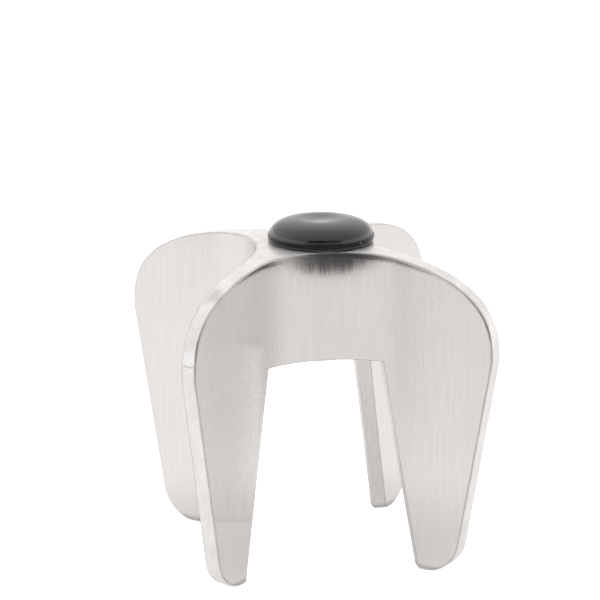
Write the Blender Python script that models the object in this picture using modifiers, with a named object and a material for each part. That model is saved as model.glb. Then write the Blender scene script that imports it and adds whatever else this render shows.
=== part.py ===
"""Champagne opener: a four-pronged steel star with a sprung push button that ejects the cork.

The star stands on the tips of its four prongs, +Z up, with its own axis on the Z axis.
Two tapered slots cross under the hub, and the cork's head wedges between the ridges that
they leave on the prongs. The black button stands on the hub. Its rod runs down through the
hub to a foot in the slots' ceiling: a cork pushes the foot up and lifts the button, and
pressing the button down again pushes the cork out. All lengths are in metres.
"""

import math

import bmesh
import bpy

# Star, seen from the side
crown_flat_radius = 0.0016
crown_power = 2.6
crease_radius = 0.0366
crease_height = 0.0385
taper_foot_radius = 0.0295
tip_radius = 0.0067

# Star, seen from above
arm_half_thickness = 0.00213
arm_taper_share = 0.02
waist_fillet_radius = 0.0174

# Slots that hold the cork
slot_height = 0.03586
slot_top_half_width = 0.00984
slot_bottom_half_width = 0.0150
slot_lip_radius = 0.0005

# Clearances: between faces that rest on each other, and between pieces that slide or turn
seat_gap = 0.0002
running_gap = 0.0003

# Button: as in the photograph, its axis lies beside the star's, towards the front right prong
button_offset = 0.002285
button_lift = 0.003

carrier_radius = 0.00905
carrier_flange_thickness = 0.0004
carrier_edge_radius = 0.00015
plug_head_radius = 0.0064
plug_head_height = 0.0008
plug_undercut = 0.0005
plug_neck_height = 0.0009

cap_lip_overhang = 0.00005
cap_lip_width = 0.00035
cap_lip_thickness = 0.0003
cap_wall_height = 0.00027
cap_side_power = 4.0
cap_top_power = 1.86
cap_roof_thickness = 0.00092
cap_dimple_radius = 0.0045
cap_dimple_depth = 0.00035

# Rod and the screws at its two ends
rod_radius = 0.0025
rod_chamfer = 0.0003
tapped_depth = 0.0048
screw_shank_radius = 0.0012
screw_shank_length = 0.005
screw_head_overhang = 0.0010
screw_head_height = 0.0011
screw_sink = 0.0001
socket_radius = 0.0010
socket_depth = 0.0008

# Bore in the hub, and the bushes at its two ends
bore_radius = 0.0050
gland_flange_width = 0.001
gland_flange_thickness = 0.001
gland_sink = 0.0003
gland_length = 0.0017
gland_slot_width = 0.0012
gland_slot_depth = 0.0005
bush_wall = 0.0012
bush_length = 0.0028
bush_flange_clearance = 0.0004
bush_flange_thickness = 0.0006
hub_web_thickness = 0.001

# Spring, its washer and its clip
spring_length = 0.00634
spring_wire_radius = 0.00025
spring_turns = 4.5
spring_points_per_turn = 10
spring_end_gap = 0.0001
washer_clearance = 0.0006
washer_thickness = 0.0004
clip_clearance = 0.0009
clip_relief = 0.0005
clip_thickness = 0.0005
clip_groove_depth = 0.0005
clip_mouth_angle = math.radians(70)
clip_lug_half_angle = math.radians(16)

# Foot that pushes on the cork
foot_radius = 0.0040
foot_drop = 0.0014
foot_thickness = 0.0018
foot_edge_radius = 0.0003

# Cutters run past the faces that they cut by this much
overrun = 0.001

# Fineness of the round surfaces
body_steps = 72
button_steps = 64
small_steps = 32
screw_steps = 24
crown_points = 18
fillet_points = 16
tip_points = 8
edge_points = 3
dome_points = 16

# Heights, from the foot up to the hub's top, which is as high as the pieces inside it need
foot_bottom = slot_height - foot_drop
foot_top = foot_bottom + foot_thickness
rod_bottom = foot_top + seat_gap
recess_top = foot_top + button_lift + seat_gap
pocket_bottom = recess_top + hub_web_thickness
bore_bottom = pocket_bottom + bush_length
bush_bottom = pocket_bottom + seat_gap
bush_flange_bottom = bore_bottom + seat_gap
bush_top = bush_flange_bottom + bush_flange_thickness
clip_bottom = bush_top + running_gap
clip_top = clip_bottom + clip_thickness
washer_bottom = clip_top + seat_gap
washer_top = washer_bottom + washer_thickness
spring_bottom = washer_top + spring_end_gap
spring_top = spring_bottom + spring_length
gland_bottom = spring_top + spring_end_gap
gland_flange_bottom = gland_bottom + gland_length
counterbore_bottom = gland_flange_bottom - seat_gap
gland_top = gland_flange_bottom + gland_flange_thickness
body_height = gland_top + gland_sink

# Heights of the button, which stands on the hub
rod_top = body_height
carrier_bottom = body_height + seat_gap
carrier_flange_top = carrier_bottom + carrier_flange_thickness
plug_head_bottom = carrier_flange_top + plug_neck_height
plug_top = plug_head_bottom + plug_head_height
cap_bottom = carrier_flange_top + seat_gap
cap_lip_top = cap_bottom + cap_lip_thickness
cap_bead_top = plug_head_bottom - seat_gap
cap_cavity_top = plug_top + running_gap
cap_top = cap_cavity_top + cap_roof_thickness + cap_dimple_depth

# Place of the button's axis
button_axis = (button_offset * math.cos(math.pi / 4), -button_offset * math.sin(math.pi / 4))

# Radii that follow from the sizes above
rod_hole_radius = rod_radius + running_gap
screw_hole_radius = screw_shank_radius + running_gap
screw_head_radius = screw_shank_radius + screw_head_overhang
screw_sink_radius = screw_head_radius + running_gap
recess_radius = foot_radius + running_gap
bush_radius = rod_hole_radius + bush_wall
pocket_radius = bush_radius + running_gap
bush_flange_radius = bore_radius - bush_flange_clearance
gland_radius = bore_radius - running_gap
gland_flange_radius = gland_radius + gland_flange_width
counterbore_radius = gland_flange_radius + running_gap
spring_coil_radius = (rod_radius + bore_radius) / 2
washer_radius = bore_radius - washer_clearance
clip_radius = bore_radius - clip_clearance
clip_groove_radius = rod_radius - clip_groove_depth
clip_lug_radius = clip_groove_radius + running_gap
clip_relief_radius = rod_radius + clip_relief
plug_neck_radius = plug_head_radius - plug_undercut
cap_bead_radius = plug_neck_radius + running_gap
cap_cavity_radius = plug_head_radius + running_gap
cap_lip_radius = carrier_radius + cap_lip_overhang
cap_dome_radius = cap_lip_radius - cap_lip_width


def clear_scene():
    """Remove every object that the file opened with."""
    for thing in list(bpy.data.objects):
        bpy.data.objects.remove(thing, do_unlink=True)


def make_collection(name):
    """Add a collection to the scene."""
    collection = bpy.data.collections.new(name)
    bpy.context.scene.collection.children.link(collection)
    return collection


def make_material(name, colour, roughness, metallic):
    """A plain Principled material."""
    material = bpy.data.materials.new(name)
    material.use_nodes = True
    shader = material.node_tree.nodes["Principled BSDF"]
    shader.inputs["Base Color"].default_value = (*colour, 1.0)
    shader.inputs["Roughness"].default_value = roughness
    shader.inputs["Metallic"].default_value = metallic
    return material


def place(thing, collection, material):
    """Put an object in its collection, with its material; a cutter has none."""
    collection.objects.link(thing)
    if material:
        thing.data.materials.append(material)
    else:
        thing.display_type = "WIRE"
        thing.hide_render = True
    return thing


def arc(centre_x, centre_y, radius, start, end, count):
    """Points along an arc, both ends included."""
    angles = [start + (end - start) * step / count for step in range(count + 1)]
    return [(centre_x + radius * math.cos(a), centre_y + radius * math.sin(a)) for a in angles]


def turned(name, profile, steps, collection, material=None, axis=(0.0, 0.0)):
    """Turn a profile of (radius, height) points about the vertical line at axis.

    The profile runs down its outer side. One that starts and ends on the axis is a solid,
    and any other is closed into a ring.
    """
    mesh = bpy.data.meshes.new(name)
    corners = [(radius, 0, height) for radius, height in profile]
    edges = [(i, i + 1) for i in range(len(corners) - 1)]
    if profile[0][0] > 0:
        edges.append((len(corners) - 1, 0))
    mesh.from_pydata(corners, edges, [])
    thing = bpy.data.objects.new(name, mesh)
    thing.location = (*axis, 0)
    place(thing, collection, material)
    screw = thing.modifiers.new("turn", "SCREW")
    screw.axis = "Z"
    screw.steps = steps
    screw.render_steps = steps
    screw.use_merge_vertices = True
    screw.merge_threshold = 0.00001
    screw.use_smooth_shade = True
    return thing


def outline_curve(name, points, half_depth):
    """A flat closed outline with thickness, as a 2D curve."""
    curve = bpy.data.curves.new(name, "CURVE")
    curve.dimensions = "2D"
    curve.fill_mode = "BOTH"
    curve.extrude = half_depth
    spline = curve.splines.new("POLY")
    spline.points.add(len(points) - 1)
    for point, (x, y) in zip(spline.points, points):
        point.co = (x, y, 0, 1)
    spline.use_cyclic_u = True
    return bpy.data.objects.new(name, curve)


def curve_to_mesh(thing, collection, material=None):
    """Swap a curve object for the closed mesh that it draws."""
    collection.objects.link(thing)
    bpy.context.view_layer.update()
    graph = bpy.context.evaluated_depsgraph_get()
    mesh = bpy.data.meshes.new_from_object(thing.evaluated_get(graph))
    grid = bmesh.new()
    grid.from_mesh(mesh)
    bmesh.ops.remove_doubles(grid, verts=grid.verts, dist=0.000001)
    bmesh.ops.recalc_face_normals(grid, faces=grid.faces)
    grid.to_mesh(mesh)
    grid.free()
    name = thing.name
    solid = bpy.data.objects.new(name, mesh)
    solid.matrix_world = thing.matrix_world
    bpy.data.objects.remove(thing, do_unlink=True)
    solid.name = name
    return place(solid, collection, material)


def combine(thing, other, operation):
    """Add a Boolean modifier."""
    boolean = thing.modifiers.new(other.name, "BOOLEAN")
    boolean.object = other
    boolean.operation = operation
    boolean.solver = "EXACT"


def crown_profile():
    """Side outline of the star, which is the same on all four prongs."""
    rise = body_height - crease_height
    reach = crease_radius - crown_flat_radius
    points = [(0, body_height)]
    for step in range(crown_points + 1):
        angle = math.pi / 2 * step / crown_points
        across = math.sin(angle) ** (2 / crown_power)
        up = max(math.cos(angle), 0) ** (2 / crown_power)
        points.append((crown_flat_radius + reach * across, crease_height + rise * up))
    lean = math.atan2(crease_radius - taper_foot_radius, crease_height)
    setback = tip_radius * math.tan((math.pi / 2 - lean) / 2)
    points += arc(taper_foot_radius - setback, tip_radius, tip_radius, -lean, -math.pi / 2, tip_points)
    points.append((0, 0))
    return points


def star_outline():
    """Plan of the four arms, which thin slightly outwards and meet in round waists."""
    taper_angle = math.atan(arm_taper_share)
    slant = math.hypot(1, arm_taper_share)
    half_right = math.pi / 4
    waist_centre = (waist_fillet_radius * slant + arm_half_thickness) / (
        math.sin(half_right) + arm_taper_share * math.cos(half_right)
    )
    reach = crease_radius + overrun
    half = arm_half_thickness - arm_taper_share * reach
    points = []
    for arm in range(4):
        angle = half_right + arm * math.pi / 2
        along = (math.cos(angle), math.sin(angle))
        for side in (-half, half):
            points.append((along[0] * reach - along[1] * side, along[1] * reach + along[0] * side))
        waist_x = waist_centre * math.cos(angle + half_right)
        waist_y = waist_centre * math.sin(angle + half_right)
        start = angle - math.pi / 2 - taper_angle
        end = angle - math.pi + taper_angle
        points += arc(waist_x, waist_y, waist_fillet_radius, start, end, fillet_points)
    return points


def slot_outline():
    """Cross-section of a slot: flat ceiling, leaning walls and round lower lips."""
    lean = math.atan2(slot_bottom_half_width - slot_top_half_width, slot_height)
    setback = slot_lip_radius * math.tan((math.pi / 2 - lean) / 2)
    mouth = slot_bottom_half_width + setback
    right = arc(mouth, slot_lip_radius, slot_lip_radius, -math.pi / 2, -math.pi - lean, edge_points)
    right = [(mouth, -overrun)] + right + [(slot_top_half_width, slot_height)]
    left = [(-x, z) for x, z in reversed(right)]
    return right + left


def make_star(collection, cutters, steel):
    """The steel star: a turned crown cut to the plan, slotted and bored."""
    star = turned("star_body", crown_profile(), body_steps, collection, steel)

    plan = outline_curve("star_plan", star_outline(), body_height / 2 + overrun)
    plan.location.z = body_height / 2
    combine(star, curve_to_mesh(plan, cutters), "INTERSECT")

    for name, turn in (("slot_front_to_back", 0), ("slot_side_to_side", math.pi / 2)):
        slot = outline_curve(name, slot_outline(), crease_radius + overrun)
        slot.rotation_euler = (math.pi / 2, 0, turn)
        combine(star, curve_to_mesh(slot, cutters), "DIFFERENCE")

    steps_down = [
        (counterbore_radius, body_height + overrun, counterbore_bottom),
        (bore_radius, counterbore_bottom, bore_bottom),
        (pocket_radius, bore_bottom, pocket_bottom),
        (rod_hole_radius, pocket_bottom, recess_top),
        (recess_radius, recess_top, slot_height - overrun),
    ]
    profile = [(0, body_height + overrun)]
    for radius, top, bottom in steps_down:
        profile += [(radius, top), (radius, bottom)]
    profile.append((0, slot_height - overrun))
    combine(star, turned("hub_bore", profile, small_steps, cutters, axis=button_axis), "DIFFERENCE")
    return star


def cap_profile():
    """The rubber cap: a dome with a thumb dimple, a thin lip, and a bead inside."""
    dome_bottom = cap_lip_top + cap_wall_height
    dome_rise = cap_top - dome_bottom

    def dome_height(radius):
        share = radius / cap_dome_radius
        height = dome_bottom + dome_rise * (1 - share**cap_side_power) ** (1 / cap_top_power)
        dimple = max(1 - (radius / cap_dimple_radius) ** 2, 0)
        return height - cap_dimple_depth * dimple**2

    shares = [math.sin(math.pi / 2 * step / dome_points) for step in range(dome_points + 1)]
    points = [(cap_dome_radius * share, dome_height(cap_dome_radius * share)) for share in shares]
    points.append((cap_dome_radius, cap_lip_top))
    points.append((cap_lip_radius, cap_lip_top))
    points.append((cap_lip_radius, cap_bottom))
    points.append((cap_bead_radius, cap_bottom))
    points.append((cap_bead_radius, cap_bead_top))
    points.append((cap_cavity_radius, cap_bead_top))
    points.append((cap_cavity_radius, cap_cavity_top))
    points.append((0, cap_cavity_top))
    return points


def make_cap(collection, rubber):
    """The black rubber cap that the thumb presses."""
    return turned("button_cap", cap_profile(), button_steps, collection, rubber, button_axis)


def make_carrier(collection, plastic):
    """The hard disc under the cap: a flange on the hub, a plug in the cap, a sunk screw hole."""
    inset = carrier_radius - carrier_edge_radius
    profile = [(plug_head_radius, plug_top), (plug_head_radius, plug_head_bottom)]
    profile += [(plug_neck_radius, plug_head_bottom), (plug_neck_radius, carrier_flange_top)]
    upper_edge = carrier_flange_top - carrier_edge_radius
    lower_edge = carrier_bottom + carrier_edge_radius
    profile += arc(inset, upper_edge, carrier_edge_radius, math.pi / 2, 0, edge_points)
    profile += arc(inset, lower_edge, carrier_edge_radius, 0, -math.pi / 2, edge_points)
    profile += [(screw_hole_radius, carrier_bottom)]
    profile += [(screw_hole_radius, plug_top - screw_sink - screw_head_height)]
    profile += [(screw_sink_radius, plug_top - screw_sink), (screw_sink_radius, plug_top)]
    return turned("button_carrier", profile, button_steps, collection, plastic, button_axis)


def make_rod(collection, steel):
    """The rod: drilled at both ends for its screws, with a groove for the clip."""
    groove_bottom = clip_bottom - seat_gap
    groove_top = clip_top + seat_gap
    chamfered = rod_radius - rod_chamfer
    upper_hole_end = rod_top - tapped_depth
    lower_hole_end = rod_bottom + tapped_depth
    profile = [(0, upper_hole_end), (screw_hole_radius, upper_hole_end), (screw_hole_radius, rod_top)]
    profile += [(chamfered, rod_top), (rod_radius, rod_top - rod_chamfer)]
    profile += [(rod_radius, groove_top), (clip_groove_radius, groove_top)]
    profile += [(clip_groove_radius, groove_bottom), (rod_radius, groove_bottom)]
    profile += [(rod_radius, rod_bottom + rod_chamfer), (chamfered, rod_bottom)]
    profile += [(screw_hole_radius, rod_bottom), (screw_hole_radius, lower_hole_end), (0, lower_hole_end)]
    return turned("push_rod", profile, small_steps, collection, steel, button_axis)


def make_screw(name, head_face, turn, collection, cutters, steel):
    """A countersunk screw with a hexagon socket, its head's face at the height head_face."""
    profile = [(0, 0), (screw_head_radius, 0), (screw_shank_radius, -screw_head_height)]
    tip = -screw_head_height - screw_shank_length
    profile += [(screw_shank_radius, tip + rod_chamfer), (screw_shank_radius - rod_chamfer, tip), (0, tip)]
    screw = turned(name, profile, screw_steps, collection, steel, button_axis)
    screw.location.z = head_face
    screw.rotation_euler.x = turn

    mesh = bpy.data.meshes.new(name + "_socket")
    grid = bmesh.new()
    bmesh.ops.create_cone(
        grid,
        cap_ends=True,
        segments=6,
        radius1=socket_radius,
        radius2=socket_radius,
        depth=2 * socket_depth,
    )
    grid.to_mesh(mesh)
    grid.free()
    socket = place(bpy.data.objects.new(mesh.name, mesh), cutters, None)
    socket.location = screw.location
    combine(screw, socket, "DIFFERENCE")
    return screw


def make_gland(collection, cutters, steel):
    """The upper bush: it closes the bore over the spring, with two slots for a pin spanner."""
    profile = [(gland_flange_radius, gland_top), (gland_flange_radius, gland_flange_bottom)]
    profile += [(gland_radius, gland_flange_bottom), (gland_radius, gland_bottom)]
    profile += [(rod_hole_radius, gland_bottom), (rod_hole_radius, gland_top)]
    gland = turned("gland_bush", profile, small_steps, collection, steel, button_axis)
    half_reach = gland_flange_radius + overrun
    half_width = gland_slot_width / 2
    corners = [(-half_reach, -half_width), (half_reach, -half_width)]
    corners += [(half_reach, half_width), (-half_reach, half_width)]
    slot = outline_curve("gland_slot", corners, gland_slot_depth)
    slot.location = (*button_axis, gland_top)
    combine(gland, curve_to_mesh(slot, cutters), "DIFFERENCE")
    return gland


def make_lower_bush(collection, plastic):
    """The lower bush, which guides the rod just above the foot."""
    profile = [(bush_flange_radius, bush_top), (bush_flange_radius, bush_flange_bottom)]
    profile += [(bush_radius, bush_flange_bottom), (bush_radius, bush_bottom)]
    profile += [(rod_hole_radius, bush_bottom), (rod_hole_radius, bush_top)]
    return turned("guide_bush", profile, small_steps, collection, plastic, button_axis)


def make_washer(collection, steel):
    """The washer that the spring pushes on."""
    profile = [(washer_radius, washer_top), (washer_radius, washer_bottom)]
    profile += [(rod_hole_radius, washer_bottom), (rod_hole_radius, washer_top)]
    return turned("spring_washer", profile, small_steps, collection, steel, button_axis)


def make_clip(collection, steel):
    """The clip in the rod's groove: an open ring with three lugs that reach the groove."""
    start = clip_mouth_angle / 2
    end = 2 * math.pi - start
    points = arc(0, 0, clip_radius, start, end, small_steps)
    lug_centres = [end - clip_lug_half_angle, math.pi, start + clip_lug_half_angle]
    for number, centre in enumerate(lug_centres):
        lug_start = centre + clip_lug_half_angle
        lug_end = centre - clip_lug_half_angle
        points += arc(0, 0, clip_lug_radius, lug_start, lug_end, edge_points)
        if number < 2:
            relief_end = lug_centres[number + 1] + clip_lug_half_angle
            points += arc(0, 0, clip_relief_radius, lug_end, relief_end, tip_points)
    clip = outline_curve("rod_clip", points, clip_thickness / 2)
    clip.location = (*button_axis, clip_bottom + clip_thickness / 2)
    return curve_to_mesh(clip, collection, steel)


def make_spring(collection, steel):
    """The return spring between the gland bush and the washer."""
    rise = spring_top - spring_bottom - 2 * spring_wire_radius
    pitch = rise / spring_turns
    print(f"spring's least gap to itself: {pitch - 2 * spring_wire_radius:.5f}")
    count = round(spring_turns * spring_points_per_turn)
    curve = bpy.data.curves.new("return_spring", "CURVE")
    curve.dimensions = "3D"
    curve.bevel_depth = spring_wire_radius
    curve.bevel_resolution = 1
    curve.use_fill_caps = True
    spline = curve.splines.new("POLY")
    spline.points.add(count)
    for step, point in enumerate(spline.points):
        angle = 2 * math.pi * step / spring_points_per_turn
        height = spring_bottom + spring_wire_radius + rise * step / count
        point.co = (spring_coil_radius * math.cos(angle), spring_coil_radius * math.sin(angle), height, 1)
    spring = bpy.data.objects.new("return_spring", curve)
    spring.location = (*button_axis, 0)
    return place(spring, collection, steel)


def make_foot(collection, plastic):
    """The foot that pushes on the cork, with a sunk hole for its screw."""
    inset = foot_radius - foot_edge_radius
    sunk_face = foot_bottom + screw_sink
    profile = [(foot_radius, foot_top)]
    profile += arc(inset, foot_bottom + foot_edge_radius, foot_edge_radius, 0, -math.pi / 2, edge_points)
    profile += [(screw_sink_radius, foot_bottom), (screw_sink_radius, sunk_face)]
    profile += [(screw_hole_radius, sunk_face + screw_head_height), (screw_hole_radius, foot_top)]
    return turned("ejector_foot", profile, small_steps, collection, plastic, button_axis)


def main():
    """Build the opener."""
    clear_scene()
    opener = make_collection("champagne_opener")
    cutters = make_collection("cutters")

    brushed = make_material("brushed_steel", (0.62, 0.61, 0.60), 0.32, 1.0)
    turned_steel = make_material("turned_steel", (0.55, 0.55, 0.56), 0.25, 1.0)
    spring_steel = make_material("spring_steel", (0.45, 0.45, 0.47), 0.30, 1.0)
    rubber = make_material("black_rubber", (0.03, 0.03, 0.032), 0.55, 0.0)
    gloss = make_material("black_gloss_plastic", (0.015, 0.015, 0.017), 0.15, 0.0)
    white = make_material("natural_plastic", (0.80, 0.79, 0.75), 0.45, 0.0)

    make_star(opener, cutters, brushed)
    make_cap(opener, rubber)
    make_carrier(opener, gloss)
    make_rod(opener, turned_steel)
    make_screw("carrier_screw", plug_top - screw_sink, 0, opener, cutters, turned_steel)
    make_screw("foot_screw", foot_bottom + screw_sink, math.pi, opener, cutters, turned_steel)
    make_gland(opener, cutters, turned_steel)
    make_lower_bush(opener, white)
    make_washer(opener, turned_steel)
    make_clip(opener, spring_steel)
    make_spring(opener, spring_steel)
    make_foot(opener, white)


main()
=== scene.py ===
"""Looks of the champagne opener: a brushed steel star, a black push button, floor, light and camera.

Every length is in metres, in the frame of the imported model: +Z up, the star's own axis on Z,
the photograph's front towards -Y. The star is drawn as one eighth of its surface, from the
middle of a waist to the middle of a prong, and repeated by mirroring and turning.
"""

import math

import bmesh
import bpy
from mathutils import Matrix, Vector


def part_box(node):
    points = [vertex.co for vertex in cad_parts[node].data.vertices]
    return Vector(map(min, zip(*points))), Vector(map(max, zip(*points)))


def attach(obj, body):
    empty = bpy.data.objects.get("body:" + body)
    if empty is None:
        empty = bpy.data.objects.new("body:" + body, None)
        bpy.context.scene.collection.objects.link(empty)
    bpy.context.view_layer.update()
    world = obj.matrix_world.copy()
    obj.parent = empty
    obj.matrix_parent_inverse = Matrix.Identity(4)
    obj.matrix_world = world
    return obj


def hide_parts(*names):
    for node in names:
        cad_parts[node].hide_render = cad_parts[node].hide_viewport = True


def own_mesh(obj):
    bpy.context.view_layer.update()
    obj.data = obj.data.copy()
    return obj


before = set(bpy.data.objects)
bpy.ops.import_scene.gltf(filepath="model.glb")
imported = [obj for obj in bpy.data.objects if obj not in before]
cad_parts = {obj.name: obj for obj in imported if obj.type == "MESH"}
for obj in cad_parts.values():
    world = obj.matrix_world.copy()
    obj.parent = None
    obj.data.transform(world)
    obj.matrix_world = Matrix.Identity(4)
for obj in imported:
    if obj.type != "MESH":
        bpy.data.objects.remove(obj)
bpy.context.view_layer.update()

# Star, seen from the side
star_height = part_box("star_body")[1].z
crown_flat_radius = 0.0016
crown_power = 2.68
crease_radius = 0.0366
crease_height = 0.0385
taper_foot_radius = 0.0295
tip_radius = 0.0067

# Star, seen from above
arm_half_thickness = 0.00213
arm_taper_share = 0.02
waist_fillet_radius = 0.0174

# Slots that hold the cork
slot_height = 0.03586
slot_top_half_width = 0.00984
slot_bottom_half_width = 0.0150
slot_lip_radius = 0.0005

# Roundings of the star's edges, which are ground by hand and widest round the shoulders
outer_rounding = 0.00027
shoulder_rounding = 0.00014
shoulder_height = 0.0465
shoulder_spread = 0.0042
rounding_unevenness = 0.00003
unevenness_lengths = (0.0053, 0.0021)
inner_rounding = 0.00014
ridge_rounding = 0.00012

# Fineness of the star: these two rows of counts have the same sum
fillet_steps, crown_steps, taper_steps, tip_steps = 16, 22, 10, 10
ceiling_steps, slot_steps, lip_steps = 24, 30, 4
wall_rows = 20
straight_columns = 5
ridge_columns = 2
edge_steps = 4
hub_rings = 5
halvings = 60

# Button: its axis stands off the star's, towards the front right prong
button_offset = 0.002285
button_steps = 160
dome_steps = 56
button_foot = 0.05501
band_height = 0.00044
band_inset = 0.00006
lip_gap = 0.00003
lip_top = 0.05607
cap_lip_width = 0.00035
cap_wall_height = 0.0003
cap_side_power = 4.0
cap_top_power = 1.86
cap_top = 0.05887
cap_dimple_radius = 0.0045
cap_dimple_depth = 0.00024
lip_step = 0.00002
lip_bevel = 0.00007
lip_draw = 0.00004
lip_easing = 0.00008
longest_easing_share = 0.45
band_easing = 0.00009

# Button's inside: the cap's hollow, and the plug and the screw's hole in the carrier
cap_mouth_radius = 0.0062
cap_hollow_radius = 0.0067
cap_hollow_low = 0.0563
cap_hollow_top = 0.0576
plug_neck_radius = 0.0059
plug_head_radius = 0.0064
plug_head_low = 0.0565
plug_head_top = 0.0573
screw_hole_radius = 0.0015
screw_head_hole_radius = 0.00248
screw_seat = 0.0561
screw_hole_edge = 0.0001

# Rod, foot and spring
rod_chamfer = 0.0003
tapped_depth = 0.0048
clip_groove_depth = 0.0005
clip_groove_play = 0.0002
foot_hole_radius = 0.0025
foot_hole_depth = 0.0012
foot_easing = 0.0002
wire_radius = 0.00025
coil_radius = 0.00375
coil_turns = 5
coil_steps, wire_steps = 40, 12
coil_closeness_share = 0.75

# Bore in the hub
bore_radius = 0.0050
gland_seat_radius = 0.00599
gland_seat = 0.0535
bush_seat_radius = 0.0043
bush_seat = 0.04326
web_top = 0.04046
web_bottom = 0.03946
web_hole_radius = 0.0028
bore_overrun = 0.001
bore_steps = 96

# Camera
camera_place = (-0.09841, -0.44945, 0.16414)
camera_pitch = math.radians(90 - 14.6297)
camera_turn = math.radians(-12.1378)
camera_roll = math.radians(-0.3)
camera_lens, camera_sensor = 165.96, 36.0
camera_near, camera_far = 0.01, 20.0

# Studio: a white tent whose front is dark round the camera
tent_glow = 1.5
ceiling_front_glow, ceiling_back_glow = 0.70, 1.07
ceiling_fade = 0.5
ceiling_size = 3.0
ceiling_height = 0.5
paper_warmth = (1.0, 0.968, 0.945)
front_glow = 0.838
side_glow = 0.995
front_reach = 0.075
under_share = 0.72
under_near, under_far = 0.012, 0.050
sheet_radius = 0.2090
sheet_widening = 0.015
sheet_turn = math.radians(12)
sheet_fade = 0.0035
dark_zone_start, dark_zone_end = 0.27, 0.36
darkest_glow, past_sheet_glow = 0.048, 0.98
darkest_facing, palest_facing, widest_facing = 0.97, 0.12, 0.2
dark_turn = math.radians(-7)
card_size = 1.2
card_lift = 0.0003
front_card_reach = 0.62
front_card_half_width = 0.52
front_card_height = 0.40
front_card_turn = math.radians(-6)
lamp_place = (-0.38, -0.16, 0.42)
lamp_target = (0, 0, 0.05)
lamp_size = 0.35
lamp_energy = 0.7
floor_size = 3.0
floor_steps = 96
floor_glow = 0.5

# Fineness of each finish's grain along each axis, per metre
groove_fineness = (42000, 42000, 3000)
streak_fineness = (2300, 2300, 130)
patch_fineness = (90, 90, 45)
speck_fineness = (2600, 2600, 1500)
mottle_fineness = (420, 420, 300)
dust_fineness = (700, 700, 700)
handled_fineness = (300, 300, 500)
rubber_grain_fineness = (5200, 5200, 5200)
flow_fineness = (520, 520, 900)
plastic_grain_fineness = (1800, 1800, 1800)
ring_fineness = (9000, 9000, 1)

# Finishes: colours and roughnesses
steel_colour = (0.82, 0.811, 0.805)
flank_roughness, flank_groove_slope, flank_streak_share = 0.10, 0.36, 0.025
crown_colour = (0.695, 0.687, 0.680)
crown_metallic, crown_roughness = 0.75, 0.38
slot_shade_share, edge_painted_shade_share = 0.94, 0.76
slot_colour = [c * slot_shade_share for c in steel_colour]
slot_roughness, slot_groove_slope, slot_streak_share = 0.20, 0.45, 0.05
# Painted shade: the edge roundings' steel is darkened so that every edge shows a thin dark line
painted_shade_edge_colour = [c * edge_painted_shade_share for c in steel_colour]
edge_roughness = 0.42
turned_colour, turned_roughness = (0.60, 0.595, 0.59), 0.26
wire_colour, wire_roughness = (0.52, 0.515, 0.51), 0.22
natural_colour, natural_roughness = (0.78, 0.77, 0.73), 0.38
band_colour, band_roughness = (0.009, 0.009, 0.0095), 0.14
rubber_dark, rubber_handled = (0.0025, 0.0025, 0.0027), (0.0055, 0.0055, 0.0057)
rubber_roughness = (0.17, 0.27)
rubber_ior = 1.64
dome_gloss, lip_gloss = 0.62, 0.16
dust_colour = (0.16, 0.16, 0.155)
floor_colour, floor_roughness = (0.93, 0.93, 0.93), 0.8

# Contrast of each grain: the noise values at which it is fully off and fully on
noise_middle = 0.5
comb_contrast = wide_contrast = (0.3, 0.7)
brushed_contrast = rubber_contrast = (0.35, 0.65)
ground_contrast = (0.38, 0.62)
handled_contrast = (0.42, 0.68)

# How strongly each grain changes its finish
brushed_streak_share, ground_speck_share = 0.7, 0.4
mottling_shares = (0.94, 1.06)
flow_shares = (0.9, 1.08)
ring_shares = (0.85, 1.12)
brushed_roughness_shares = (1.15, 0.88)
ground_roughness_shares = (1.12, 0.9)
flow_roughness_shares = (0.8, 1.3)
ring_roughness_shares = (1.2, 0.85)
dust_reach_shares = (0.08, 0.14)
dust_pick_shares = (0.60, 0.63)

# How far the brushed streaks lean up and down, as a slope
comb_slope = 0.0011

# Depth of each grain
ground_depth = 0.000002
ring_depth = 0.000002
rubber_grain_depth = 0.000007
plastic_grain_depth = 0.000001

# Marks on the ground edge of the front left prong: a smudge, and a thin painted shade line along the crease;
# and painted shade near the floor on all tips
smudge_place = (-0.0203, -0.0203, 0.0513)
smudge_size = 0.0026
smudge_share = 0.78
crease_shade_line_height = 0.0409
crease_shade_line_width = 0.00026
crease_shade_line_share = 0.72
crease_shade_line_wave_share = 0.2
crease_shade_line_near, crease_shade_line_far = 0.014, 0.018
# Painted shade: the steel is darker near the floor at the prongs' tips
tip_shade_height = 0.0014
tip_shade_share = 0.55

# Level faces have no upright direction, so this small vector gives them one to be brushed along
level_face_brushing = (0.001, 0, 0)

# Edges that bend more than this stay sharp
star_sharp_angle, turned_sharp_angle = math.radians(30), math.radians(40)

# Corners closer than this are one corner
merge_distance = 0.000001

half_right = math.pi / 4
quarter_turn = math.pi / 2
button_axis = (button_offset * math.cos(half_right), -button_offset * math.sin(half_right))


def solve(function, target, low, high):
    """Where a rising function reaches the target."""
    for _ in range(halvings):
        middle = (low + high) / 2
        if function(middle) < target:
            low = middle
        else:
            high = middle
    return (low + high) / 2


def mix(a, b, share):
    """A point or number between two others."""
    return a + (b - a) * share


# The star's wall, seen from above: a waist's fillet, then a prong's flat flank
flank_lean = math.atan(arm_taper_share)
flank_heading = half_right + flank_lean
waist_centre = (waist_fillet_radius * math.hypot(1, arm_taper_share) + arm_half_thickness) / (
    math.sin(half_right) + arm_taper_share * math.cos(half_right)
)
fillet_run = waist_fillet_radius * (half_right - flank_lean)


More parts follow.
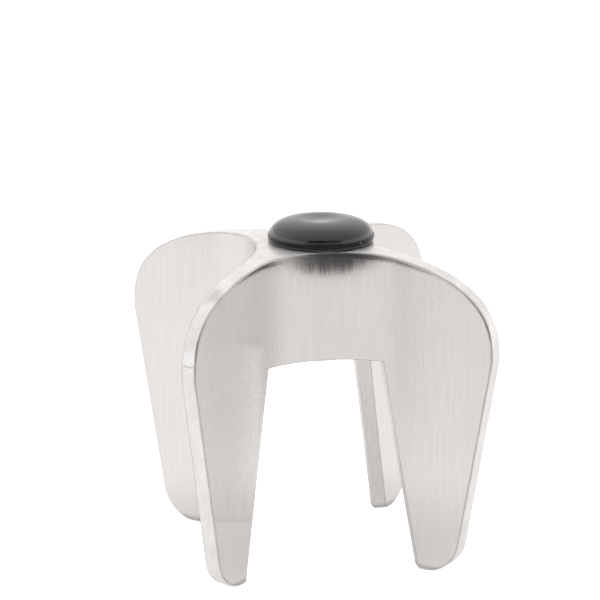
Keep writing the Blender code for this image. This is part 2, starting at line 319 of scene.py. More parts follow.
def wall_point(run):
    """The wall's place in plan, at that distance along it from the middle of a waist."""
    angle = math.pi - min(run, fillet_run) / waist_fillet_radius
    past = max(run - fillet_run, 0)
    return Vector((
        waist_centre + waist_fillet_radius * math.cos(angle) + past * math.cos(flank_heading),
        waist_fillet_radius * math.sin(angle) + past * math.sin(flank_heading),
    ))


def wall_normal(run):
    """The wall's outward direction in plan."""
    angle = min(run, fillet_run) / waist_fillet_radius
    return Vector((math.cos(angle), -math.sin(angle)))


def crown_top(radius):
    """Height of the star's crown at that distance from its axis."""
    share = (radius - crown_flat_radius) / (crease_radius - crown_flat_radius)
    share = min(max(share, 0), 1)
    return crease_height + (star_height - crease_height) * (1 - share**crown_power) ** (1 / crown_power)


def outer_loop():
    """(run, height, radius) along the wall's outer edge: waist, crown, taper, tip."""
    reach = crease_radius - crown_flat_radius
    rise = star_height - crease_height
    waist = [fillet_run * step / fillet_steps for step in range(fillet_steps)]
    waist = [(run, crown_top(wall_point(run).length), wall_point(run).length) for run in waist]
    first = math.asin(((wall_point(fillet_run).length - crown_flat_radius) / reach) ** (crown_power / 2))
    loop = []
    for step in range(crown_steps + 1):
        angle = mix(first, quarter_turn, step / crown_steps)
        radius = crown_flat_radius + reach * math.sin(angle) ** (2 / crown_power)
        loop.append((crease_height + rise * max(math.cos(angle), 0) ** (2 / crown_power), radius))
    lean = math.atan2(crease_radius - taper_foot_radius, crease_height)
    centre = taper_foot_radius - tip_radius * math.tan((quarter_turn - lean) / 2)
    tip_start = (tip_radius - tip_radius * math.sin(lean), centre + tip_radius * math.cos(lean))
    for step in range(1, taper_steps):
        share = step / taper_steps
        loop.append((mix(crease_height, tip_start[0], share), mix(crease_radius, tip_start[1], share)))
    for step in range(tip_steps + 1):
        angle = mix(-lean, -quarter_turn, step / tip_steps)
        loop.append((tip_radius + tip_radius * math.sin(angle), centre + tip_radius * math.cos(angle)))
    longest = 2 * crease_radius
    return waist + [(solve(lambda s: wall_point(s).length, r, 0, longest), z, r) for z, r in loop]


def inner_loop():
    """(run, height, half width of the slot) along the wall's inner edge: ceiling, slot, lip."""
    corner = solve(lambda s: wall_point(s).y, slot_top_half_width, 0, crease_radius)
    runs = [corner * step / ceiling_steps for step in range(ceiling_steps)]
    loop = [(run, slot_height, slot_top_half_width) for run in runs]
    lean = math.atan2(slot_bottom_half_width - slot_top_half_width, slot_height)
    mouth = slot_bottom_half_width + slot_lip_radius * math.tan((quarter_turn - lean) / 2)
    lip = []
    for step in range(lip_steps + 1):
        angle = mix(-math.pi - lean, -quarter_turn, step / lip_steps)
        lip.append((slot_lip_radius * (1 + math.sin(angle)), mouth + slot_lip_radius * math.cos(angle)))
    slot = []
    for step in range(slot_steps):
        share = step / slot_steps
        slot.append((mix(slot_height, lip[0][0], share), mix(slot_top_half_width, lip[0][1], share)))
    loop += [(solve(lambda s: wall_point(s).y, y, 0, crease_radius), z, y) for z, y in slot + lip]
    return loop


def outer_edge_rounding(height):
    """How far the rounding of the star's outer edge reaches, at that height."""
    share = (height - shoulder_height) / shoulder_spread
    waves = sum(math.sin(2 * math.pi * height / length) for length in unevenness_lengths)
    return outer_rounding + shoulder_rounding * math.exp(-share * share) + rounding_unevenness * waves


def inward_offsets(corners, reaches):
    """For each corner of the wall's outline, drawn flat, the mitred way to a line inside it."""
    offsets = []
    for before, here, after, reach in zip(corners, corners[1:], corners[2:], reaches):
        first = (here - before).normalized()
        second = (after - here).normalized()
        first = Vector((first.y, -first.x))
        second = Vector((second.y, -second.x))
        offsets.append((first + second) * reach / (1 + first.dot(second)))
    return offsets


def lift(plan, height):
    """A plan point at a height."""
    return Vector((plan.x, plan.y, height))


def polar(radius, angle):
    """A plan point from its distance and direction."""
    return Vector((radius * math.cos(angle), radius * math.sin(angle)))


def rounded_edge(start, corner, end):
    """Points from one face to the next, round a corner."""
    points = []
    for step in range(edge_steps + 1):
        t = step / edge_steps
        points.append(start * (1 - t) ** 2 + corner * (2 * t * (1 - t)) + end * t**2)
    return points


def across_slot(start, half_width, height):
    """Points from beside the wall to the ridge, which is slightly round."""
    bend = Vector((half_width + ridge_rounding, half_width, height))
    points = [mix(start, bend, step / straight_columns) for step in range(straight_columns)]
    centre = half_width + ridge_rounding
    for step in range(ridge_columns + 1):
        angle = -quarter_turn - half_right * step / ridge_columns
        x = centre + ridge_rounding * math.cos(angle)
        y = centre + ridge_rounding * math.sin(angle)
        points.append(Vector((x, y, height)))
    return points


def add_grid(mesh, rows, material):
    """Faces between rows of points."""
    verts = [[mesh.verts.new(point) for point in row] for row in rows]
    for low, high in zip(verts, verts[1:]):
        for a, b, c, d in zip(low, low[1:], high[1:], high):
            face = mesh.faces.new((a, b, c, d))
            face.material_index = material
            face.smooth = True


FLANK, CROWN, SLOT, EDGE = range(4)


def star_eighth(mesh):
    """The surface of half a prong and half a waist, without the button's bore."""
    outer = outer_loop()
    inner = inner_loop()
    last_run, last_z, last_radius = outer[-1]
    lip_run, lip_z, lip_width = inner[-1]
    bottom = [(mix(last_run, lip_run, row / wall_rows), 0) for row in range(wall_rows + 1)]
    columns = straight_columns + ridge_columns

    flat = [Vector((run, z)) for run, z, _ in outer]
    flat += [Vector(point) for point in bottom[1:-1]]
    flat += [Vector((run, z)) for run, z, _ in reversed(inner)]
    before = Vector((-flat[1].x, flat[1].y))
    after = Vector((-flat[-2].x, flat[-2].y))
    reaches = [outer_edge_rounding(z) for _, z, _ in outer]
    reaches += [mix(reaches[-1], inner_rounding, row / wall_rows) for row in range(1, wall_rows)]
    reaches += [inner_rounding] * len(inner)
    offsets = inward_offsets([before, *flat, after], reaches)
    inside = [point + offset for point, offset in zip(flat, offsets)]
    on_wall = [lift(wall_point(point.x), point.y) for point in flat]
    off_edge = [lift(wall_point(point.x), point.y) for point in inside]
    count = len(outer)

    # The wall itself, ruled between its inner and outer edge
    rows = []
    for index in range(count):
        start = inside[len(flat) - 1 - index]
        end = inside[index]
        points = [mix(start, end, row / wall_rows) for row in range(wall_rows + 1)]
        rows.append([lift(wall_point(point.x), point.y) for point in points])
    rows[-1] = [off_edge[count - 1 + wall_rows - row] for row in range(wall_rows + 1)]
    add_grid(mesh, rows, FLANK)

    # Crown, taper and tip
    across = []
    edge = []
    for index, (run, z, radius) in enumerate(outer):
        plan = wall_point(run) - wall_normal(run) * reaches[index]
        if run > fillet_run:
            plan = plan * (radius / plan.length)
        row = []
        for column in range(columns + 1):
            share = column / columns
            distance = mix(plan.length, radius, share)
            height = z if run > fillet_run else crown_top(distance)
            angle = mix(math.atan2(plan.y, plan.x), half_right, share)
            row.append(lift(polar(distance, angle), height))
        across.append(row)
        edge.append(rounded_edge(off_edge[index], on_wall[index], row[0]))
    add_grid(mesh, across, CROWN)
    outer_end = across[-1]

    # The hub's top inside the waists
    hub = []
    for ring in range(hub_rings + 1):
        share = ring / hub_rings
        row = []
        for point in across[0]:
            plan = Vector((point.x, point.y)) * share
            row.append(lift(plan, crown_top(plan.length)))
        hub.append(row)
    hub[-1] = across[0]
    add_grid(mesh, hub, CROWN)

    # Slot: its ceiling, leaning wall and lip
    starts = []
    for run, z, _ in inner:
        plan = wall_point(run)
        starts.append(Vector((plan.x - inner_rounding / wall_normal(run).x, plan.y, z)))
    walls = [across_slot(starts[i], inner[i][2], inner[i][1]) for i in range(ceiling_steps, count)]
    add_grid(mesh, walls, SLOT)
    inner_end = walls[-1]
    ceiling = []
    for index in range(ceiling_steps):
        share = index / ceiling_steps
        middle = walls[0][-1] * share
        middle.z = slot_height
        ceiling.append([mix(starts[index], middle, column / columns) for column in range(columns + 1)])
    ceiling.append(walls[0])
    add_grid(mesh, ceiling, SLOT)
    inner_edge = []
    for index in range(count):
        corner = len(flat) - 1 - index
        inner_edge.append(rounded_edge(off_edge[corner], on_wall[corner], starts[index]))

    # The flat that the prong stands on
    rows = []
    for row in range(wall_rows + 1):
        rows.append([mix(a, b, row / wall_rows) for a, b in zip(outer_end, inner_end)])
    add_grid(mesh, rows, CROWN)
    for row in range(1, wall_rows):
        corner = count - 1 + row
        edge.append(rounded_edge(off_edge[corner], on_wall[corner], rows[row][0]))
    edge += reversed(inner_edge)
    add_grid(mesh, edge, EDGE)


def new_piece(name, mesh, body, materials):
    """A visible piece that rides on a body and takes its finish from a slot."""
    data = bpy.data.meshes.new(name)
    mesh.to_mesh(data)
    mesh.free()
    for material in materials:
        data.materials.append(material)
    piece = bpy.data.objects.new(name, data)
    bpy.context.scene.collection.objects.link(piece)
    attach(piece, body)
    return piece


def turned_mesh(profile, steps):
    """A profile of (radius, height) points turned about the button's axis."""
    mesh = bmesh.new()
    middle_x, middle_y = button_axis
    rings = []
    for radius, height in profile:
        if radius == 0:
            rings.append([mesh.verts.new((middle_x, middle_y, height))] * steps)
            continue
        ring = []
        for step in range(steps):
            angle = 2 * math.pi * step / steps
            x = middle_x + radius * math.cos(angle)
            y = middle_y + radius * math.sin(angle)
            ring.append(mesh.verts.new((x, y, height)))
        rings.append(ring)
    if profile[0][0] > 0:
        rings.append(rings[0])
    for upper, lower in zip(rings, rings[1:]):
        for step in range(steps):
            after = (step + 1) % steps
            corners = [upper[step], lower[step], lower[after], upper[after]]
            corners = [v for i, v in enumerate(corners) if v not in corners[:i]]
            if len(corners) > 2:
                mesh.faces.new(corners).smooth = True
    bmesh.ops.recalc_face_normals(mesh, faces=mesh.faces)
    return mesh


def eased(profile, size, steps=3):
    """The profile with its corners rounded."""
    points = [profile[0]]
    for before, here, after in zip(profile, profile[1:], profile[2:]):
        a, p, b = Vector(before), Vector(here), Vector(after)
        reach = min(size, (a - p).length * longest_easing_share, (b - p).length * longest_easing_share)
        start = p + (a - p).normalized() * reach
        end = p + (b - p).normalized() * reach
        for step in range(steps + 1):
            t = step / steps
            point = start * (1 - t) ** 2 + p * (2 * t * (1 - t)) + end * t**2
            points.append((point.x, point.y))
    points.append(profile[-1])
    return points


def bore_profile():
    """The stepped bore that the button's rod and spring stand in."""
    return [
        (0, star_height + bore_overrun),
        (gland_seat_radius, star_height + bore_overrun),
        (gland_seat_radius, gland_seat),
        (bore_radius, gland_seat),
        (bore_radius, bush_seat),
        (bush_seat_radius, bush_seat),
        (bush_seat_radius, web_top),
        (web_hole_radius, web_top),
        (web_hole_radius, web_bottom),
        (bush_seat_radius, web_bottom),
        (bush_seat_radius, slot_height - bore_overrun),
        (0, slot_height - bore_overrun),
    ]


def add_moved_copy(mesh, geometry, matrix):
    """Adds a copy of the geometry, moved by the matrix."""
    copy = bmesh.ops.duplicate(mesh, geom=geometry)["geom"]
    corners = [part for part in copy if isinstance(part, bmesh.types.BMVert)]
    bmesh.ops.transform(mesh, matrix=matrix, verts=corners)


def make_star(materials):
    """The steel star."""
    mesh = bmesh.new()
    star_eighth(mesh)
    eighth = list(mesh.verts) + list(mesh.edges) + list(mesh.faces)
    swap = Matrix(((0, 1, 0, 0), (1, 0, 0, 0), (0, 0, 1, 0), (0, 0, 0, 1)))
    add_moved_copy(mesh, eighth, swap)
    quarter = list(mesh.verts) + list(mesh.edges) + list(mesh.faces)
    for turn in range(1, 4):
        add_moved_copy(mesh, quarter, Matrix.Rotation(turn * quarter_turn, 4, "Z"))
    bmesh.ops.remove_doubles(mesh, verts=mesh.verts, dist=merge_distance)
    bmesh.ops.recalc_face_normals(mesh, faces=mesh.faces)
    star = new_piece("star_steel_body", mesh, "star", materials)
    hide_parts("star_body")

    cutter_data = bpy.data.meshes.new("bore_cutter")
    cutter_mesh = turned_mesh(bore_profile(), bore_steps)
    cutter_mesh.to_mesh(cutter_data)
    cutter_mesh.free()
    cutter = bpy.data.objects.new("bore_cutter", cutter_data)
    bpy.context.scene.collection.objects.link(cutter)
    cut = star.modifiers.new("bore", "BOOLEAN")
    cut.object = cutter
    cut.operation = "DIFFERENCE"
    cut.solver = "EXACT"
    bpy.context.view_layer.update()
    graph = bpy.context.evaluated_depsgraph_get()
    data = bpy.data.meshes.new_from_object(star.evaluated_get(graph))
    star.modifiers.clear()
    star.data = data
    bpy.data.objects.remove(cutter, do_unlink=True)
    data.shade_smooth()
    data.set_sharp_from_angle(angle=star_sharp_angle)
    for edge in data.edges:
        ends = [data.vertices[index].co for index in edge.vertices]
        on_crease = all(abs(end.z - crease_height) < merge_distance for end in ends)
        outside = all(math.hypot(end.x, end.y) > crease_radius - outer_rounding for end in ends)
        if on_crease and outside:
            edge.use_edge_sharp = True
    star.modifiers.new("flat_faces_stay_flat", "WEIGHTED_NORMAL").keep_sharp = True
    return star


def cap_profile():
    """The rubber cap, from its dimple over the dome to its lip, and back inside."""
    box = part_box("button_cap")
    lip_radius = (box[1].x - box[0].x) / 2
    dome_radius = lip_radius - cap_lip_width
    dome_bottom = lip_top + cap_wall_height
    rise = cap_top - dome_bottom
    bottom = button_foot + band_height + lip_gap

    def dome(radius):
        share = min(radius / dome_radius, 1)
        height = dome_bottom + rise * (1 - share**cap_side_power) ** (1 / cap_top_power)
        dimple = max(1 - (radius / cap_dimple_radius) ** 2, 0)
        return height - cap_dimple_depth * dimple**2

    angles = [quarter_turn * step / dome_steps for step in range(dome_steps + 1)]
    radii = [dome_radius * math.sin(angle) for angle in angles]
    points = [(radius, dome(radius)) for radius in radii]
    rim = [
        points[-1],
        (dome_radius, lip_top + lip_step),
        (lip_radius - lip_bevel, lip_top),
        (lip_radius, lip_top - lip_bevel),
        (lip_radius - lip_draw, bottom),
        (cap_mouth_radius, bottom),
        (cap_mouth_radius, cap_hollow_low),
        (cap_hollow_radius, cap_hollow_low),
        (cap_hollow_radius, cap_hollow_top),
        (0, cap_hollow_top),
    ]
    return points[:-1] + eased(rim, lip_easing)


def band_profile():
    """The glossy band under the lip, the plug that holds the cap, and the screw's hole."""
    low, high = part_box("button_carrier")
    radius = (high.x - low.x) / 2 - band_inset
    top = button_foot + band_height
    return eased([
        (screw_head_hole_radius, plug_head_top),
        (plug_head_radius, plug_head_top),
        (plug_head_radius, plug_head_low),
        (plug_neck_radius, plug_head_low),
        (plug_neck_radius, top),
        (radius, top),
        (radius, button_foot),
        (screw_hole_radius, button_foot),
        (screw_hole_radius, screw_seat),
        (screw_head_hole_radius, plug_head_top - screw_hole_edge),
    ], band_easing)


def turned_piece(name, profile, body, material, node):
    """A turned piece that stands for a node of the model."""
    piece = new_piece(name, turned_mesh(profile, button_steps), body, [material])
    piece.data.set_sharp_from_angle(angle=turned_sharp_angle)
    piece.modifiers.new("flat_faces_stay_flat", "WEIGHTED_NORMAL").keep_sharp = True
    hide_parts(node)
    return piece


def rod_profile():
    """The rod: chamfered ends, a groove for the clip, and a screw's hole at both ends."""
    low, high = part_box("push_rod")
    clip_low, clip_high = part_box("rod_clip")
    radius = (high.x - low.x) / 2
    groove_bottom = clip_low.z - clip_groove_play
    groove_top = clip_high.z + clip_groove_play
    return [
        (0, high.z - tapped_depth),
        (screw_hole_radius, high.z - tapped_depth),
        (screw_hole_radius, high.z),
        (radius - rod_chamfer, high.z),
        (radius, high.z - rod_chamfer),
        (radius, groove_top),
        (radius - clip_groove_depth, groove_top),
        (radius - clip_groove_depth, groove_bottom),
        (radius, groove_bottom),
        (radius, low.z + rod_chamfer),
        (radius - rod_chamfer, low.z),
        (screw_hole_radius, low.z),
        (screw_hole_radius, low.z + tapped_depth),
        (0, low.z + tapped_depth),
    ]


def foot_profile():
    """The foot: a disc with a rounded lower edge and a sunk hole for its screw."""
    low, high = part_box("ejector_foot")
    radius = (high.x - low.x) / 2
    return eased([
        (screw_hole_radius, high.z),
        (radius, high.z),
        (radius, low.z),
        (foot_hole_radius, low.z),
        (foot_hole_radius, low.z + screw_hole_edge),
        (screw_hole_radius, low.z + foot_hole_depth),
        (screw_hole_radius, high.z - screw_hole_edge),
    ], foot_easing)


def spring_mesh():
    """A coil of round wire whose end turns lie close and flat."""
    low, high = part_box("return_spring")
    bottom, top = low.z + wire_radius, high.z - wire_radius
    count = coil_turns * coil_steps
    mesh = bmesh.new()
    rings = []
    for step in range(count + 1):
        share = step / count
        rise = share - math.sin(2 * math.pi * share) / (2 * math.pi) * coil_closeness_share
        angle = 2 * math.pi * coil_turns * share
        outward = Vector((math.cos(angle), math.sin(angle), 0))
        centre = Vector((*button_axis, mix(bottom, top, rise))) + outward * coil_radius
        ring = []
        for corner in range(wire_steps):
            turn = 2 * math.pi * corner / wire_steps
            way = outward * math.cos(turn) + Vector((0, 0, math.sin(turn)))
            ring.append(mesh.verts.new(centre + way * wire_radius))
        rings.append(ring)
    for before, after in zip(rings, rings[1:]):
        for corner in range(wire_steps):
            following = (corner + 1) % wire_steps
            corners = (before[corner], before[following], after[following], after[corner])
            mesh.faces.new(corners).smooth = True
    mesh.faces.new(rings[0])
    mesh.faces.new(rings[-1])
    bmesh.ops.recalc_face_normals(mesh, faces=mesh.faces)
    return mesh


def make_button(rubber, lip_rubber, gloss_plastic, white_plastic, turned_steel, wire):
    """The button's visible pieces, its rod and foot, and the spring in the hub."""
    cap = turned_piece("cap_rubber_dome", cap_profile(), "button", rubber, "button_cap")
    cap.data.materials.append(lip_rubber)
    for face in cap.data.polygons:
        if face.center.z < lip_top + lip_step:
            face.material_index = 1
    turned_piece("carrier_gloss_band", band_profile(), "button", gloss_plastic,
                 "button_carrier")
    turned_piece("push_rod_turned", rod_profile(), "button", turned_steel, "push_rod")
    turned_piece("ejector_foot_disc", foot_profile(), "button", white_plastic,
                 "ejector_foot")
    spring = new_piece("return_spring_coil", spring_mesh(), "star", [wire])
    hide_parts("return_spring")
    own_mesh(spring)


def dress_nodes(names, material):
    """Gives carried-over nodes of the model their finish."""
    for name in names:
        for material_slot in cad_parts[name].material_slots:
            material_slot.material = material


def make_floor(material):
    """A plain floor that reaches past the picture."""
    mesh = bmesh.new()
    bmesh.ops.create_circle(mesh, cap_ends=True, segments=floor_steps, radius=floor_size)
    data = bpy.data.meshes.new("floor")
    mesh.to_mesh(data)
    mesh.free()
    data.materials.append(material)
    floor = bpy.data.objects.new("floor", data)
    bpy.context.scene.collection.objects.link(floor)
    return floor


def principled(name, metallic):
    """A new material, its node tree and its shader."""
    material = bpy.data.materials.new(name)
    material.use_nodes = True
    shader = material.node_tree.nodes["Principled BSDF"]
    shader.inputs["Metallic"].default_value = metallic
    return material, material.node_tree, shader


def add_node(tree, kind, inputs=(), **settings):
    """A shader node; an input given as another node's socket is linked, any other is set."""
    made = tree.nodes.new("ShaderNode" + kind)
    for name, value in settings.items():
        setattr(made, name, value)
    for key, value in dict(inputs).items():
        if isinstance(value, bpy.types.NodeSocket):
            tree.links.new(value, made.inputs[key])
        else:
            made.inputs[key].default_value = value
    return made


def place(tree):
    """The point's place on the object, in metres."""
    return add_node(tree, "TexCoord").outputs["Object"]


def height_of(tree):
    """The point's height on the object, in metres."""
    return add_node(tree, "SeparateXYZ", {0: place(tree)}).outputs[2]


def noise(tree, scales, detail, start=None):
    """Noise from 0 to 1, with its own fineness along each axis, per metre."""
    stretched = add_node(tree, "VectorMath", {0: start or place(tree), 1: scales}, operation="MULTIPLY")
    inputs = {"Vector": stretched.outputs[0], "Scale": 1.0, "Detail": detail}
    return add_node(tree, "TexNoise", inputs).outputs[0]


def remap(tree, value, low, high, new_low, new_high, smooth=False):
    """The value carried from one range to another and kept inside it."""
    kind = "SMOOTHSTEP" if smooth else "LINEAR"
    inputs = {0: value, 1: low, 2: high, 3: new_low, 4: new_high}
    return add_node(tree, "MapRange", inputs, interpolation_type=kind).outputs[0]


def reckon(tree, operation, first, second=0.0):
    """One step of arithmetic."""
    return add_node(tree, "Math", {0: first, 1: second}, operation=operation).outputs[0]


def vector_step(tree, operation, first, second, output=0):
    """One step of arithmetic with vectors."""
    return add_node(tree, "VectorMath", {0: first, 1: second}, operation=operation).outputs[output]


def scaled(tree, vector, share):
    """The vector or colour times a share."""
    return add_node(tree, "VectorMath", {0: vector, "Scale": share}, operation="SCALE").outputs[0]


def layered(tree, first, second, first_share):
    """Two grains added up, the first with its share and the second with the rest."""
    first = reckon(tree, "MULTIPLY", first, first_share)
    return reckon(tree, "ADD", first, reckon(tree, "MULTIPLY", second, 1 - first_share))


def blended(tree, share, first, second):
    """A colour between two others."""
    inputs = {0: share, 6: (*first, 1), 7: (*second, 1)}
    return add_node(tree, "Mix", inputs, data_type="RGBA").outputs[2]


def shades(colour, dark_share, light_share):
    """A darker and a lighter shade of a colour."""
    return [c * dark_share for c in colour], [c * light_share for c in colour]


def vary_roughness(tree, shader, grain, contrast, roughness, shares):
    """Roughness that goes from one share of it to another as the grain passes through its contrast."""
    first, last = [roughness * share for share in shares]
    tree.links.new(remap(tree, grain, *contrast, first, last), shader.inputs["Roughness"])


def raise_grain(tree, shader, height, depth):
    """Lets a height from 0 to 1 stand out of the surface by depth."""
    bump = add_node(tree, "Bump", {"Height": height, "Strength": 1.0, "Distance": depth})
    tree.links.new(bump.outputs[0], shader.inputs["Normal"])


def painted_tip_shade(tree, colour):
    """The colour, darker near the floor at the prongs' tips: painted shade."""
    return scaled(tree, colour, remap(tree, height_of(tree), 0, tip_shade_height, tip_shade_share, 1, True))


def brushed_steel(name, colour, roughness, groove_slope, streak_share):
    """Steel brushed up and down: fine upright grooves smear mirror images sideways only."""
    material, tree, shader = principled(name, 1.0)
    shader.inputs["Anisotropic"].default_value = 1.0
    normal = add_node(tree, "NewGeometry").outputs["Normal"]
    level = vector_step(tree, "CROSS_PRODUCT", normal, (0, 0, 1))
    tree.links.new(vector_step(tree, "ADD", level, level_face_brushing), shader.inputs["Tangent"])
    fine = noise(tree, groove_fineness, 2)
    middle = noise(tree, streak_fineness, 3)
    broad = noise(tree, patch_fineness, 2)
    slope = remap(tree, fine, 0, 1, -groove_slope, groove_slope)
    streak_slope = groove_slope * streak_share
    slope = reckon(tree, "ADD", slope, remap(tree, middle, 0, 1, -streak_slope, streak_slope))
    leaning = vector_step(tree, "ADD", normal, scaled(tree, level, slope))
    rise = remap(tree, middle, *comb_contrast, -comb_slope, comb_slope)
    leaning = vector_step(tree, "ADD", leaning, add_node(tree, "CombineXYZ", {2: rise}).outputs[0])
    leaning = add_node(tree, "VectorMath", {0: leaning}, operation="NORMALIZE").outputs[0]
    tree.links.new(leaning, shader.inputs["Normal"])
    grain = layered(tree, middle, broad, brushed_streak_share)
    share = remap(tree, grain, *brushed_contrast, 0, 1)
    tint = blended(tree, share, *shades(colour, 1 - streak_share, 1 + streak_share))
    # Painted shade near the floor at the tips
    tree.links.new(painted_tip_shade(tree, tint), shader.inputs["Base Color"])
    vary_roughness(tree, shader, grain, brushed_contrast, roughness, brushed_roughness_shares)
    return material


def marks(tree, broad):
    """1 on clean steel, less on the smudge and on the painted shade line along the crease."""
    here = place(tree)
    wavy = reckon(tree, "MULTIPLY", reckon(tree, "SUBTRACT", broad, noise_middle), smudge_size)
    away = vector_step(tree, "DISTANCE", here, smudge_place, "Value")
    clean = remap(tree, reckon(tree, "ADD", away, wavy), 0, smudge_size, smudge_share, 1, True)
    height = add_node(tree, "SeparateXYZ", {0: here}).outputs[2]
    height = reckon(tree, "ADD", height, reckon(tree, "MULTIPLY", wavy, crease_shade_line_wave_share))
    # Painted shade: a thin darker line at one height along the crease of the front left prong
    off_line = reckon(tree, "ABSOLUTE", reckon(tree, "SUBTRACT", height, crease_shade_line_height))
    deepest = remap(tree, away, crease_shade_line_near, crease_shade_line_far, crease_shade_line_share, 1)
    off_line = remap(tree, off_line, 0, crease_shade_line_width, deepest, 1, True)
    return reckon(tree, "MULTIPLY", clean, off_line)


def ground_steel(name, colour, metallic, roughness, marked):
    """Satin steel ground by hand: mottling, painted shade near the floor at the tips, and, where marked, a
    smudge and a painted shade line along the crease.
    """
    material, tree, shader = principled(name, metallic)
    fine = noise(tree, speck_fineness, 3)
    broad = noise(tree, mottle_fineness, 3)
    grain = layered(tree, fine, broad, ground_speck_share)
    share = remap(tree, grain, *ground_contrast, 0, 1)
    tint = blended(tree, share, *shades(colour, *mottling_shares))
    if marked:
        tint = scaled(tree, tint, marks(tree, broad))
    # Painted shade near the floor at the tips
    tree.links.new(painted_tip_shade(tree, tint), shader.inputs["Base Color"])
    vary_roughness(tree, shader, grain, ground_contrast, roughness, ground_roughness_shares)
    raise_grain(tree, shader, fine, ground_depth)
    return material


def black_rubber(name, gloss):
    """Black rubber with a fine grain, paler handled patches and a few specks of dust."""
    material, tree, shader = principled(name, 0.0)
    cloud = noise(tree, handled_fineness, 3)
    worn = blended(tree, remap(tree, cloud, *handled_contrast, 0, 1), rubber_dark, rubber_handled)
    spread = vector_step(tree, "MULTIPLY", place(tree), dust_fineness)
    cells = add_node(tree, "TexVoronoi", {"Vector": spread, "Scale": 1.0})
    near = remap(tree, cells.outputs["Distance"], *dust_reach_shares, 1, 0)
    pick = add_node(tree, "SeparateColor", {0: cells.outputs["Color"]}).outputs[0]
    speck = reckon(tree, "MULTIPLY", near, remap(tree, pick, *dust_pick_shares, 0, 1))
    dusty = add_node(tree, "Mix", {0: speck, 6: worn, 7: (*dust_colour, 1)}, data_type="RGBA")
    tree.links.new(dusty.outputs[2], shader.inputs["Base Color"])
    tree.links.new(remap(tree, cloud, *rubber_contrast, *rubber_roughness), shader.inputs["Roughness"])
    shader.inputs["IOR"].default_value = rubber_ior
    shader.inputs["Specular IOR Level"].default_value = gloss
    raise_grain(tree, shader, noise(tree, rubber_grain_fineness, 3), rubber_grain_depth)
    return material


def smooth_plastic(name, colour, roughness):
    """Moulded plastic with faint flow marks in its gloss."""
    material, tree, shader = principled(name, 0.0)
    cloud = noise(tree, flow_fineness, 3)
    tree.links.new(blended(tree, cloud, *shades(colour, *flow_shares)), shader.inputs["Base Color"])
    vary_roughness(tree, shader, cloud, wide_contrast, roughness, flow_roughness_shares)
    raise_grain(tree, shader, noise(tree, plastic_grain_fineness, 2), plastic_grain_depth)
    return material


def turned_metal(name, colour, roughness):
    """Metal with fine turning rings about the button's axis."""
    material, tree, shader = principled(name, 1.0)
    parts = add_node(tree, "SeparateXYZ", {0: vector_step(tree, "SUBTRACT", place(tree), (*button_axis, 0))})
    flat = add_node(tree, "CombineXYZ", {0: parts.outputs[0], 1: parts.outputs[1]})
    radius = add_node(tree, "VectorMath", {0: flat.outputs[0]}, operation="LENGTH").outputs["Value"]
    ring = add_node(tree, "CombineXYZ", {0: radius, 1: parts.outputs[2]}).outputs[0]
    rings = noise(tree, ring_fineness, 2, ring)
    tree.links.new(blended(tree, rings, *shades(colour, *ring_shares)), shader.inputs["Base Color"])
    vary_roughness(tree, shader, rings, wide_contrast, roughness, ring_roughness_shares)
    raise_grain(tree, shader, rings, ring_depth)
    return material


def make_camera():
    """The photograph's view."""
    data = bpy.data.cameras.new("camera")
    data.lens = camera_lens
    data.sensor_width = camera_sensor
    data.clip_start = camera_near
    data.clip_end = camera_far
    camera = bpy.data.objects.new("camera", data)
    camera.location = camera_place
    turned = Matrix.Rotation(camera_turn, 3, "Z") @ Matrix.Rotation(camera_pitch, 3, "X")
    camera.rotation_euler = (turned @ Matrix.Rotation(camera_roll, 3, "Z")).to_euler()
    bpy.context.scene.collection.objects.link(camera)
    bpy.context.scene.camera = camera


def stage_card(name, corners, material):
    """A studio card that only the steel and the rubber mirror."""
    data = bpy.data.meshes.new(name)
    data.from_pydata(corners, [], [(0, 1, 2, 3)])
    data.materials.append(material)
    card = bpy.data.objects.new(name, data)
    bpy.context.scene.collection.objects.link(card)
    card.visible_camera = False
    card.visible_diffuse = False
    card.visible_transmission = False
    card.visible_shadow = False


def glowing(name, strength_of):
    """A card's glow: its strength is a number, or worked out from the place on the card."""
    material = bpy.data.materials.new(name)
    material.use_nodes = True
    tree = material.node_tree
    tree.nodes.clear()
    glow = add_node(tree, "Emission", {"Color": (*paper_warmth, 1)})
    out = add_node(tree, "OutputMaterial", {"Surface": glow.outputs[0]})
    strength = strength_of(tree)
    if isinstance(strength, bpy.types.NodeSocket):
        tree.links.new(strength, glow.inputs["Strength"])
    else:
        glow.inputs["Strength"].default_value = strength
    return material


def alignment(tree, heading, turn):
    """How well a heading agrees with the way to the front, turned by an angle: 1 where it is the same."""
    return vector_step(tree, "DOT_PRODUCT", heading, (math.sin(turn), -math.cos(turn), 0), "Value")


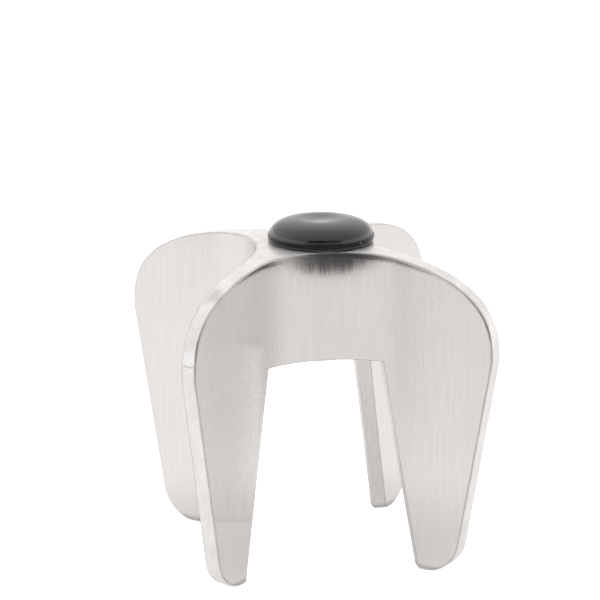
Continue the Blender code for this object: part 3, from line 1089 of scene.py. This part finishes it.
def mirrored_floor_glow(tree):
    """The floor as the steel mirrors it: a sheet shaded under the star, and a dark zone past its edge."""
    here = place(tree)
    away = add_node(tree, "VectorMath", {0: here}, operation="LENGTH").outputs["Value"]
    heading = add_node(tree, "VectorMath", {0: here}, operation="NORMALIZE").outputs[0]
    depth = add_node(tree, "SeparateXYZ", {0: here}).outputs[1]
    sheet = remap(tree, depth, -front_reach, 0, front_glow, side_glow, True)
    facing = alignment(tree, heading, dark_turn)
    beyond = remap(tree, facing, palest_facing, darkest_facing, past_sheet_glow, darkest_glow, True)
    further = remap(tree, away, dark_zone_start, dark_zone_end, 0, past_sheet_glow, True)
    beyond = reckon(tree, "MAXIMUM", beyond, further)
    across = alignment(tree, heading, sheet_turn)
    edge = remap(tree, across, widest_facing, 1, sheet_radius + sheet_widening, sheet_radius)
    on_sheet = remap(tree, reckon(tree, "SUBTRACT", away, edge), 0, sheet_fade, 1, 0, True)
    past = reckon(tree, "MULTIPLY", beyond, reckon(tree, "SUBTRACT", 1.0, on_sheet))
    glow = reckon(tree, "ADD", reckon(tree, "MULTIPLY", sheet, on_sheet), past)
    return reckon(tree, "MULTIPLY", glow, remap(tree, away, under_near, under_far, under_share, 1, True))


def ceiling_glow(tree):
    """The tent's roof, brighter towards the back."""
    depth = add_node(tree, "SeparateXYZ", {0: place(tree)}).outputs[1]
    return remap(tree, depth, -ceiling_fade, ceiling_fade, ceiling_front_glow, ceiling_back_glow, True)


def make_light():
    """A white tent with a dark front and a pale roof, and one broad soft lamp from the left."""
    world = bpy.data.worlds.new("studio")
    bpy.context.scene.world = world
    world.use_nodes = True
    background = world.node_tree.nodes["Background"]
    background.inputs["Color"].default_value = (1, 1, 1, 1)
    background.inputs["Strength"].default_value = tent_glow
    r = card_size
    corners = [(-r, -r, card_lift), (r, -r, card_lift), (r, r, card_lift), (-r, r, card_lift)]
    stage_card("card_mirrored_floor", corners, glowing("card_floor_glow", mirrored_floor_glow))
    middle = Vector((math.sin(front_card_turn), -math.cos(front_card_turn), 0)) * front_card_reach
    along = Vector((math.cos(front_card_turn), math.sin(front_card_turn), 0)) * front_card_half_width
    up = Vector((0, 0, front_card_height))
    corners = [middle - along, middle + along, middle + along + up, middle - along + up]
    stage_card("card_dark_front", corners, glowing("card_dark", lambda tree: 0.0))
    r, h = ceiling_size, ceiling_height
    corners = [(-r, -r, h), (r, -r, h), (r, r, h), (-r, r, h)]
    stage_card("card_ceiling", corners, glowing("card_ceiling_glow", ceiling_glow))
    data = bpy.data.lights.new("softbox", "AREA")
    data.energy = lamp_energy
    data.shape = "DISK"
    data.size = lamp_size
    lamp = bpy.data.objects.new("softbox", data)
    lamp.location = lamp_place
    lamp.rotation_euler = (Vector(lamp_target) - lamp.location).to_track_quat("-Z", "Y").to_euler()
    lamp.visible_glossy = False
    bpy.context.scene.collection.objects.link(lamp)


def white_floor(name):
    """Plain white paper that glows a little, so that it stays white under the tips."""
    material, tree, shader = principled(name, 0.0)
    shader.inputs["Base Color"].default_value = (*floor_colour, 1)
    shader.inputs["Roughness"].default_value = floor_roughness
    shader.inputs["Specular IOR Level"].default_value = 0.0
    shader.inputs["Emission Color"].default_value = (1, 1, 1, 1)
    shader.inputs["Emission Strength"].default_value = floor_glow
    return material


make_camera()
make_light()
bpy.context.scene.view_settings.view_transform = "Standard"
make_floor(white_floor("floor_white"))
star_materials = [
    brushed_steel("steel_flank", steel_colour, flank_roughness, flank_groove_slope, flank_streak_share),
    ground_steel("steel_crown", crown_colour, crown_metallic, crown_roughness, True),
    brushed_steel("steel_slot", slot_colour, slot_roughness, slot_groove_slope, slot_streak_share),
    # The edge roundings carry painted shade in their darker colour
    ground_steel("steel_edge", painted_shade_edge_colour, 1.0, edge_roughness, False),
]
make_star(star_materials)
white_plastic = smooth_plastic("plastic_natural", natural_colour, natural_roughness)
turned_steel = turned_metal("steel_turned", turned_colour, turned_roughness)
wire = turned_metal("steel_spring_wire", wire_colour, wire_roughness)
gloss_plastic = smooth_plastic("plastic_black_gloss", band_colour, band_roughness)
rubber = black_rubber("rubber_black", dome_gloss)
lip_rubber = black_rubber("rubber_lip_matt", lip_gloss)
make_button(rubber, lip_rubber, gloss_plastic, white_plastic, turned_steel, wire)
dress_nodes(["gland_bush", "spring_washer", "carrier_screw", "foot_screw"], turned_steel)
dress_nodes(["rod_clip"], wire)
dress_nodes(["guide_bush"], white_plastic)
